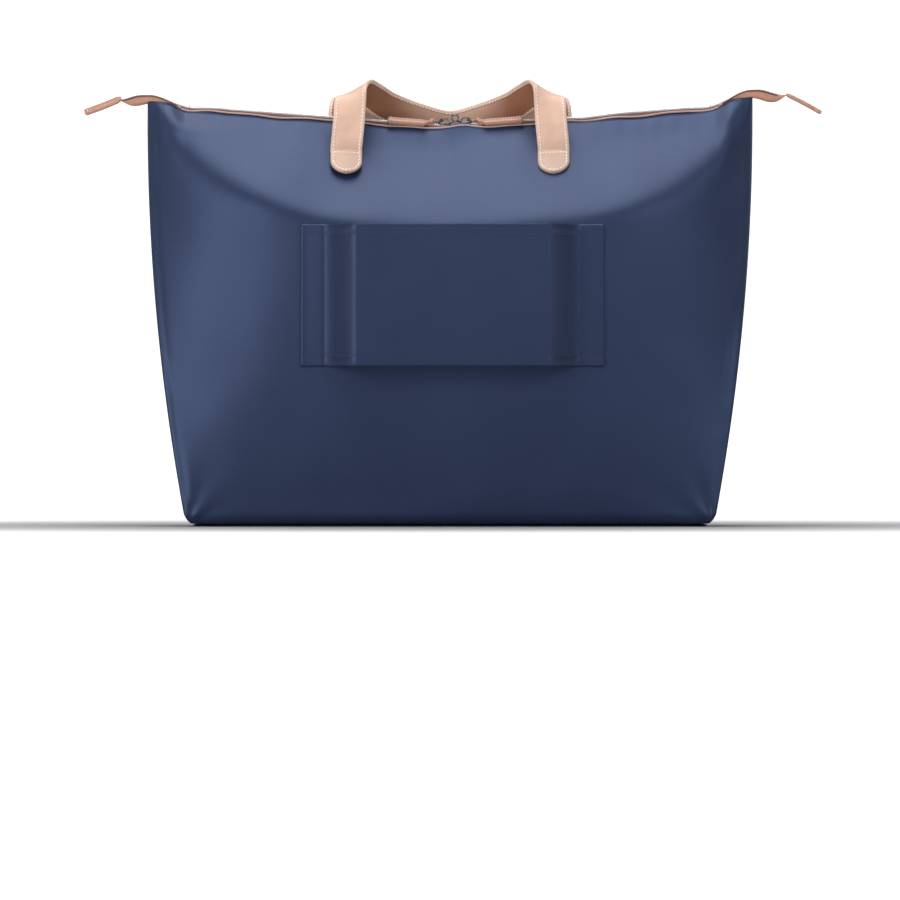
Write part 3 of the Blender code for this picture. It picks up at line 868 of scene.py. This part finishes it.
def build_end_tab(hand, name):
    root, tip, roll = END_TABS[hand]
    root, tip = np.array(root), np.array(tip)
    along = unit(tip - root)
    wide = SIDEWAYS * math.cos(roll) + np.cross(along, SIDEWAYS) * math.sin(roll) * hand
    thick = np.cross(along, wide)
    # the rows crowd towards the tip, where the corners are round and the edge thins
    spans = [
        np.linspace(0, 0.16, 14),
        np.linspace(0.18, 0.86, 18),
        1 - 0.14 * np.linspace(1, 0, 16) ** 1.6,
    ]
    thin = 0.0008
    stations = []
    for t in np.concatenate(spans):
        near = max((1 - t) * TAB_LENGTH, 0.0)
        half = 0.0038 + 0.0026 * step(0.02, 0.14, t) - rounded_tip(near, 0.0022)
        high = 0.0017 * (1 - 0.25 * step(0.1, 0, t))
        if near <= thin:
            high *= 0.55 + 0.45 * near / thin
        bend = thick * 0.0004 * math.sin(math.pi * t)
        stations.append((root + (tip - root) * t + bend, half, high))
    piece = loft_piece(f"{name}_leather", flat_strap_rings(stations, wide, thick), "leather_fine")
    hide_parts(name)
    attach(piece, name)
    inset = 0.0015
    spot, half, high = stations[-12]
    cross = np.linspace(-1, 1, 12)[:, None] * wide * (half - inset)
    lines = []
    for face in (-1, 1):
        lines += edge_rows(stations[10:-9], wide, thick, face, inset)
        lines.append(
            (spot + cross + thick * face * (high + 0.00002), np.tile(thick * face, (12, 1)))
        )
    stitches = sew(f"{name}_stitch", lines, "cream", 0.0023, (0.0016, 0.0005, 0.0003), 0.0)
    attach(stitches, name)


def build_end_stop(hand, name):
    """A bright wire stapled over the last teeth."""
    x = hand * (ZIP_HALF - 0.003)
    y = np.linspace(-0.0034, 0.0034, 14)
    z = zip_height(x) + 0.0002 + 0.0006 * np.cos(y / 0.003)
    piece = tube(f"{name}_metal", xyz(x, y, z), 0.0006, "teeth", up=(1, 0, 0))
    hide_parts(name)
    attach(piece, "root")


# ---- sliders and pulls
def slider_frame(hand):
    x = MEET_X + hand * SLIDER_STEP
    middle = np.array((x, 0, ZIP_MID + ZIP_SLOPE * abs(x)))
    along = unit(np.array((hand, 0, ZIP_SLOPE)))
    up = np.array((-along[2], 0, along[0])) * hand
    return middle, along, up


def build_plate(name, place, length, half, low, high, nose, flip):
    """A slider plate: its plan narrows at the nose, and its edges are rounded."""
    middle, along, up = place
    c, s = circle(40)
    plan_a = squarer(c, 0.5) * length / 2
    plan_y = squarer(s, 0.6) * half * (1 - nose * step(0, length / 2, plan_a))
    plan = np.outer(plan_a, along) + np.outer(plan_y, SIDEWAYS)
    edge = (
        (0.0005, low), (0.0001, low + 0.0003), (0, (low + high) / 2),
        (0.0001, high - 0.0003), (0.0005, high),
    )
    rings = [middle + plan * (1 - inset / half) + up * level for inset, level in edge]
    return loft_piece(name, rings, "gunmetal", flip)


def build_slider(hand, name):
    """Two plates joined by a web, an arched bail, and an eye on a stalk for a lock."""
    place = middle, along, up = slider_frame(hand)
    body = f"{name}_slider"
    plate = build_plate(f"{body}_top", place, 0.0112, 0.0045, 0.0004, 0.0018, 0.3, hand < 0)
    under = build_plate(f"{body}_under", place, 0.0108, 0.003, -0.0041, -0.0029, 0.25, hand < 0)
    web_path = middle + np.outer(np.linspace(-0.0035, 0.001, 6), up)
    web = tube(f"{body}_web", web_path + along * 0.003, 0.0007, "gunmetal", up=SIDEWAYS)
    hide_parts(f"{name}_slider")
    for piece in (plate, under, web):
        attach(piece, body)

    turn = np.linspace(0, np.pi, 30)
    rise = 0.0018 + 0.0036 * np.sin(turn) ** 0.8
    arch = middle + np.outer(np.cos(turn) * BAIL_R, along) + np.outer(rise, up)
    bail = loft_piece(f"{name}_bail_metal", bail_rings(arch), "gunmetal")
    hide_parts(f"{name}_bail")
    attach(bail, body)

    eye_y = hand * 0.0022
    centre = np.array((MEET_X, eye_y, (middle - along * 0.0052)[2] + 0.0058))
    c, s = circle(36)
    ring = centre + 0.0029 * xyz(c, 0, s)
    eye = tube(f"{name}_lock_eye_metal", ring, 0.00062, "gunmetal", closed=True, up=SIDEWAYS)
    stalk_end = middle - along * 0.003 + up * 0.0014 + SIDEWAYS * eye_y
    stalk_path = np.linspace(centre - np.array((-hand * 0.0015, 0, 0.0026)), stalk_end, 8)
    stalk = tube(f"{name}_eye_stalk", stalk_path, 0.0008, "gunmetal", 8, up=SIDEWAYS)
    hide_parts(f"{name}_lock_eye")
    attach(eye, body)
    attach(stalk, body)
    build_pull(hand, name, middle, along, up)


def bail_rings(arch):
    """A flat strip of metal bent into an arch."""
    along = unit(np.gradient(arch, axis=0))
    out = unit(np.cross(along, SIDEWAYS))
    c, s = circle(14)
    wide = squarer(c, 0.6) * 0.0011
    high = squarer(s, 0.6) * 0.00062
    return arch[:, None] + wide[:, None] * SIDEWAYS + high[:, None] * out[:, None]


def build_pull(hand, name, middle, along, up):
    """A rounded wire link that hangs on the bail, and a stitched leather strap on the link."""
    hinge = middle + along * 0.0016 + up * 0.0034
    reach = along * LINK_LENGTH - SIDEWAYS * 0.0035 - up * 0.0015
    c, s = (squarer(values, 0.75) for values in circle(40))
    ring = hinge + np.outer(0.5 + 0.5 * c, reach) + np.outer(s * LINK_HALF, SIDEWAYS)
    link = tube(f"{name}_link_metal", ring, 0.00078, "gunmetal", closed=True)
    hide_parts(f"{name}_pull_link")
    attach(link, f"{name}_link")

    wide = -unit(SIDEWAYS * math.cos(PULL_ROLL) + up * math.sin(PULL_ROLL))
    thick = np.cross(along, wide)
    if np.dot(thick, up) < 0:
        thick = -thick
    spans = [
        np.linspace(0, 0.22, 16),
        np.linspace(0.25, 0.9, 20),
        1 - 0.08 * np.linspace(1, 0, 12) ** 1.5,
    ]
    tip_radius = 0.0012
    stations = []
    for t in np.concatenate(spans):
        # the strap leaves the link and sinks to lie along the cloth
        sunk = step(0.0, 0.2, t)
        spot = middle + along * (LINK_LENGTH + 0.0022 + (PULL_LENGTH + 0.0011) * t)
        spot = spot - SIDEWAYS * (0.0045 + 0.0038 * sunk) + up * (0.0016 - 0.0018 * sunk)
        # it is gathered where it goes round the link, and swells over the fold
        w = 0.002 + 0.0016 * step(0.03, 0.22, t) + 0.0003 * step(0.6, 1, t)
        h = 0.0013 + 0.0005 * step(0.08, 0.28, t) + 0.0004 * bell(0.1, 0.05, t)
        h += 0.0003 * bell(0.93, 0.04, t)
        near = (1 - t) * PULL_LENGTH
        w -= rounded_tip(near, tip_radius)
        if near < tip_radius:
            h *= 0.6 + 0.4 * near / tip_radius
        stations.append((spot, w, h))
    rings = flat_strap_rings(stations, wide, thick)
    piece = loft_piece(f"{name}_pull_leather", rings, "leather_fine", flip=hand < 0)
    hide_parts(f"{name}_leather_pull")
    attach(piece, f"{name}_pull")
    lines = [
        row
        for face in (-1, 1)
        for row in edge_rows(stations[12:-7], wide, thick, face, 0.0013)
    ]
    stitches = sew(f"{name}_pull_stitch", lines, "cream", 0.0022, (0.0016, 0.00045, 0.00045))
    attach(stitches, f"{name}_pull")
    # a small loop of the same leather holds the link
    radius, half_thick = 0.0016, 0.0006
    centre = hinge + reach + along * 0.0012
    rings = []
    for curl in np.linspace(-0.9 * np.pi, 0.9 * np.pi, 16):
        out = np.sin(curl) * up - np.cos(curl) * along
        corners = ((-1, -1), (1, -1), (1, 1), (-1, 1))
        rings.append(
            [centre + out * (radius + b * half_thick) + wide * a * radius for a, b in corners]
        )
    loop = loft_piece(f"{name}_pull_loop", rings, "leather_fine", flip=hand > 0, sharp=50)
    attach(loop, f"{name}_pull")


# ---- handles
# As in the CAD part: pairs across the strap from its foot to the middle of the loop.
BACK_LOOP = (
    ((-0.0745, -0.034, 0.3203), (-0.1015, -0.034, 0.3203)),
    ((-0.072, -0.0325, 0.345), (-0.0995, -0.033, 0.343)),
    ((-0.07, -0.026, 0.3715), (-0.0975, -0.0285, 0.3575)),
    ((-0.064, -0.01, 0.3785), (-0.09, -0.014, 0.364)),
    ((-0.053, 0.008, 0.3697), (-0.08, -0.001, 0.3625)),
    ((-0.037, 0.0205, 0.3606), (-0.068, 0.011, 0.3535)),
    ((-0.018, 0.028, 0.3552), (-0.036, 0.0245, 0.3395)),
    ((0.0, 0.03, 0.354), (0.0, 0.031, 0.3285)),
)
FRONT_LOOP = (
    ((-0.0775, 0.034, 0.3203), (-0.1045, 0.034, 0.3203)),
    ((-0.0775, 0.037, 0.34), (-0.1045, 0.0365, 0.339)),
    ((-0.0765, 0.044, 0.36), (-0.1035, 0.043, 0.3565)),
    ((-0.0725, 0.057, 0.369), (-0.0995, 0.054, 0.364)),
    ((-0.064, 0.074, 0.365), (-0.09, 0.07, 0.3575)),
    ((-0.047, 0.088, 0.353), (-0.068, 0.086, 0.34)),
    ((-0.022, 0.095, 0.3435), (-0.034, 0.095, 0.323)),
    ((0.0, 0.0965, 0.3405), (0.0, 0.098, 0.314)),
)


def smooth_path(knots):
    """A Catmull-Rom curve through the knots."""
    p = np.asarray(knots, float)
    ends = np.concatenate([2 * p[:1] - p[1:2], p, 2 * p[-1:] - p[-2:-1]])
    t = np.linspace(0, 1, 14, endpoint=False)[:, None]
    found = []
    for a, b, c, d in zip(ends, ends[1:], ends[2:], ends[3:]):
        bend = (2 * a - 5 * b + 4 * c - d) * t**2 + (3 * b - a - 3 * c + d) * t**3
        found.append(0.5 * (2 * b + (c - a) * t + bend))
    return np.concatenate(found + [p[-1:]])


def foot_pairs(side, middle):
    """Pairs across the strap where it lies on the panel, from its round end upwards."""
    x = middle + np.array((-1, 1)) * STRAP_W / 2
    pairs = []
    for z in (TAB_LOW, 0.3045, 0.311, TAB_TOP):
        level = np.full(2, z)
        away = panel_normal(x, level, side) * (0.0006 + STRAP_T / 2)
        pairs.append((panel_point(x, level, side) + away) * (-1, 1, 1))
    return pairs


def strap_frames(loop, side):
    """(middle, across, normal, half width, run) down one whole handle, foot to foot."""
    feet = foot_pairs(side, abs(loop[0][0][0] + loop[0][1][0]) / 2)
    pairs = np.concatenate([feet, loop])
    pairs = np.concatenate([pairs, pairs[-2::-1] * (-1, 1, 1)])
    a, b = smooth_path(pairs[:, 0]), smooth_path(pairs[:, 1])
    middle = (a + b) / 2
    run = np.concatenate([[0], np.cumsum(np.linalg.norm(np.diff(middle, axis=0), axis=1))])
    # even steps, closer together round each foot
    radius = STRAP_W / 2
    even = np.linspace(0, run[-1], 360)
    round_end = radius * (1 - np.cos(np.linspace(0.02, 1, 18) * np.pi / 2))
    even = np.unique(np.concatenate([even[even > radius], round_end]))
    even = even[even < run[-1] - radius]
    even = np.concatenate([even, (run[-1] - round_end)[::-1]])
    middle, across = read_off(even, run, middle), unit(read_off(even, run, a - b))
    along = unit(np.gradient(middle, axis=0))
    across = unit(across - along * np.sum(across * along, -1, keepdims=True))
    normal = np.cross(along, across)
    if normal[20][1] * side < 0:
        normal = -normal
    reach = np.minimum(even, run[-1] - even)
    half_wide = np.sqrt(np.maximum(radius**2 - np.clip(radius - reach, 0, radius) ** 2, 1e-8))
    return middle, across, normal, half_wide, even


INSIDE_POINTS = 6  # this many points at each end of a strap's ring lie on its inner face


def strap_rings(middle, across, normal, half):
    """Rings of a two-layer strap with rounded edges and a sewn groove along each."""
    r = STRAP_T * 0.42
    bend = np.linspace(-np.pi / 2, np.pi / 2, 7)
    edge_y = np.sin(bend) * STRAP_T / 2
    # where the strap is sewn, its face dips into a shallow groove
    insets = np.array((0.0012, 0.0019, 0.0026, 0.0033, 0.0042))
    dips = np.array((0.0, 0.00008, 0.00026, 0.00008, 0.0))
    rings = []
    for m, w, n, h in zip(middle, across, normal, half):
        rr = min(r, h * 0.9)
        inner = h - rr
        face_x = np.concatenate([inner - insets * min(inner / 0.0085, 1), [inner * 0.25]])
        face_y = STRAP_T / 2 - np.concatenate([dips, [-0.00012]])
        edge_x = inner + rr * np.cos(bend)
        right_x = np.concatenate([face_x[::-1], edge_x, face_x])
        right_y = np.concatenate([-face_y[::-1], edge_y, face_y])
        x = np.concatenate([right_x, -right_x[::-1]])
        y = np.concatenate([right_y, right_y[::-1]])
        rings.append(m + np.outer(x, w) + np.outer(y, n))
    return np.array(rings)


def build_handle(loop, side, y_name):
    """A strap in three pieces: a foot sewn flat on the panel at each end, and the loop between."""
    middle, across, normal, half, run = strap_frames(loop, side)
    rings = strap_rings(middle, across, normal, half)
    low_half = middle[: len(middle) // 2]
    foot = np.flatnonzero((low_half[:, 2] < TAB_TOP) & (np.abs(low_half[:, 0]) > 0.06))[-1] + 1
    last = len(middle) - foot - 1
    k = 60  # any ring on the loop tells which way the rings turn
    flip = np.dot(np.cross(rings[k][1] - rings[k][0], rings[k + 1][0] - rings[k][0]), normal[k]) > 0
    spans = {"left": (0, foot + 1), "loop": (foot, last + 1), "right": (last, len(middle))}
    count = rings.shape[1]
    for part, (first, stop) in spans.items():
        piece = loft_piece(f"{y_name}_handle_{part}", rings[first:stop], "leather", flip, sharp=60)
        # the inner faces take the leather painted with shade
        piece.data.materials.append(MATERIALS["leather_inside_painted_shade"])
        for face in piece.data.polygons:
            places = [min(v % count, count - 1 - v % count) for v in face.vertices]
            if len(places) == 4 and max(places) < INSIDE_POINTS:
                face.material_index = 1
        lines = stitch_lines(middle, across, normal, run, (run[first], run[stop - 1]), part)
        stitches = sew(f"{y_name}_handle_{part}_stitch", lines, "cream")
        if part == "loop":
            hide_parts(f"{y_name}_handle_strap")
            for item in (piece, stitches):
                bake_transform(item)
        else:
            flatten(piece, f"handle_tab_{y_name}_{part}")
            flatten(stitches)


def stitch_lines(middle, across, normal, run, span, part):
    """Stitch rows along both edges of the loop's two faces; round each foot and across its top."""
    radius = STRAP_W / 2
    reach = radius - STRAP_INSET
    whole = run[-1]
    lines = []

    def at(s, u, face):
        spot, w, n = (read_off(s, run, rows) for rows in (middle, across, normal))
        return spot + w * u[:, None] + n * face * (STRAP_T / 2 - 0.00022), n * face

    low, high = max(span[0], radius), min(span[1], whole - radius)
    straight = np.linspace(low, high, max(int((high - low) / 0.001), 4))
    for face in (1, -1) if part == "loop" else (1,):
        for edge in (-1, 1):
            lines.append(at(straight, np.full_like(straight, edge * reach), face))
    if part != "loop":
        turn = np.linspace(-np.pi / 2, np.pi / 2, 40)
        s = radius - reach * np.cos(turn)
        lines.append(at(s if part == "left" else whole - s, reach * np.sin(turn), 1))
        u = np.linspace(-1, 1, 20) * reach
        top = high - 0.001 if part == "left" else low + 0.001
        lines.append(at(np.full_like(u, top), u, 1))
    return lines


# ---- build
for y_name, side in SIDES:
    build_panel(side, f"{y_name}_panel")
for x_name, hand in HANDS:
    build_gusset(hand, f"{x_name}_gusset")
build_base()
build_sleeve()
build_lining()
build_zip()
for x_name, hand in HANDS:
    build_zip_end(hand, f"{x_name}_zip_end")
    build_end_tab(hand, f"{x_name}_end_tab")
    build_end_stop(hand, f"{x_name}_end_stop")
    build_slider(hand, x_name)
build_handle(BACK_LOOP, -1, "back")
build_handle(FRONT_LOOP, 1, "front")


# ---- stage, light and camera
def build_stage():
    """A pale floor that sweeps up into a white backdrop; away from the bag it glows white."""
    bend, far = 0.8, 9.6
    profile = [(-20.0, 0.0), (far, 0.0)]
    for a in np.linspace(0.1, math.pi / 2, 14):
        profile.append((far + bend * math.sin(a), bend * (1 - math.cos(a))))
    profile.append((far + bend, 5.0))
    points = [(x, y, z) for y, z in profile for x in (-14.0, 14.0)]
    faces = [(2 * k, 2 * k + 1, 2 * k + 3, 2 * k + 2) for k in range(len(profile) - 1)]
    mesh = bpy.data.meshes.new("floor")
    mesh.from_pydata(points, [], faces)
    mesh.shade_smooth()
    material, tree, shader, place = start_material("floor", 0.9, Emission_Color=(1, 1, 1, 1))
    shader.inputs["Base Color"].default_value = (0.34, 0.34, 0.35, 1)
    x, y, _ = split(tree, place)
    square = maths(tree, "MULTIPLY_ADD", x, x, maths(tree, "MULTIPLY", y, y))
    glow = blend_range(tree, maths(tree, "SQRT", square), 0.2, 1.1)
    tree.links.new(glow, shader.inputs["Emission Strength"])
    mesh.materials.append(material)
    floor = bpy.data.objects.new("floor", mesh)
    bpy.context.scene.collection.objects.link(floor)


def area_light(name, place, size, power, colour=(1, 1, 1)):
    """A soft light aimed at the middle of the bag."""
    lamp = bpy.data.lights.new(name, "AREA")
    lamp.shape = "RECTANGLE"
    lamp.size, lamp.size_y = size
    lamp.energy = power
    lamp.color = colour
    item = bpy.data.objects.new(name, lamp)
    item.location = place
    aim = Vector((0, 0, 0.22)) - Vector(place)
    item.rotation_euler = aim.to_track_quat("-Z", "Y").to_euler()
    bpy.context.scene.collection.objects.link(item)


def build_lights():
    world = bpy.data.worlds.new("studio")
    world.use_nodes = True
    background = world.node_tree.nodes["Background"]
    background.inputs["Color"].default_value = (1, 1, 1, 1)
    background.inputs["Strength"].default_value = 0.21
    bpy.context.scene.world = world
    bpy.context.scene.view_settings.view_transform = "Standard"
    area_light("key", (-1.9, -2.0, 0.9), (1.0, 1.2), 31, (1, 0.99, 0.98))
    area_light("fill", (1.6, -2.1, 1.6), (1.0, 1.0), 18, (0.97, 0.98, 1))
    area_light("top", (-0.1, 0.0, 2.0), (1.6, 1.0), 24)


def build_camera():
    """A level, nearly parallel view that takes in span metres at plane_y."""
    lens, sensor = 400.0, 36.0
    span, plane_y, level = 0.765, -0.02, 0.0646
    camera = bpy.data.cameras.new("camera")
    camera.lens = lens
    camera.sensor_width = sensor
    item = bpy.data.objects.new("camera", camera)
    item.location = (0, plane_y - span * lens / sensor, level)
    item.rotation_euler = (math.pi / 2, 0, 0)
    bpy.context.scene.collection.objects.link(item)
    bpy.context.scene.camera = item


build_stage()
build_lights()
build_camera()
bpy.context.view_layer.update()
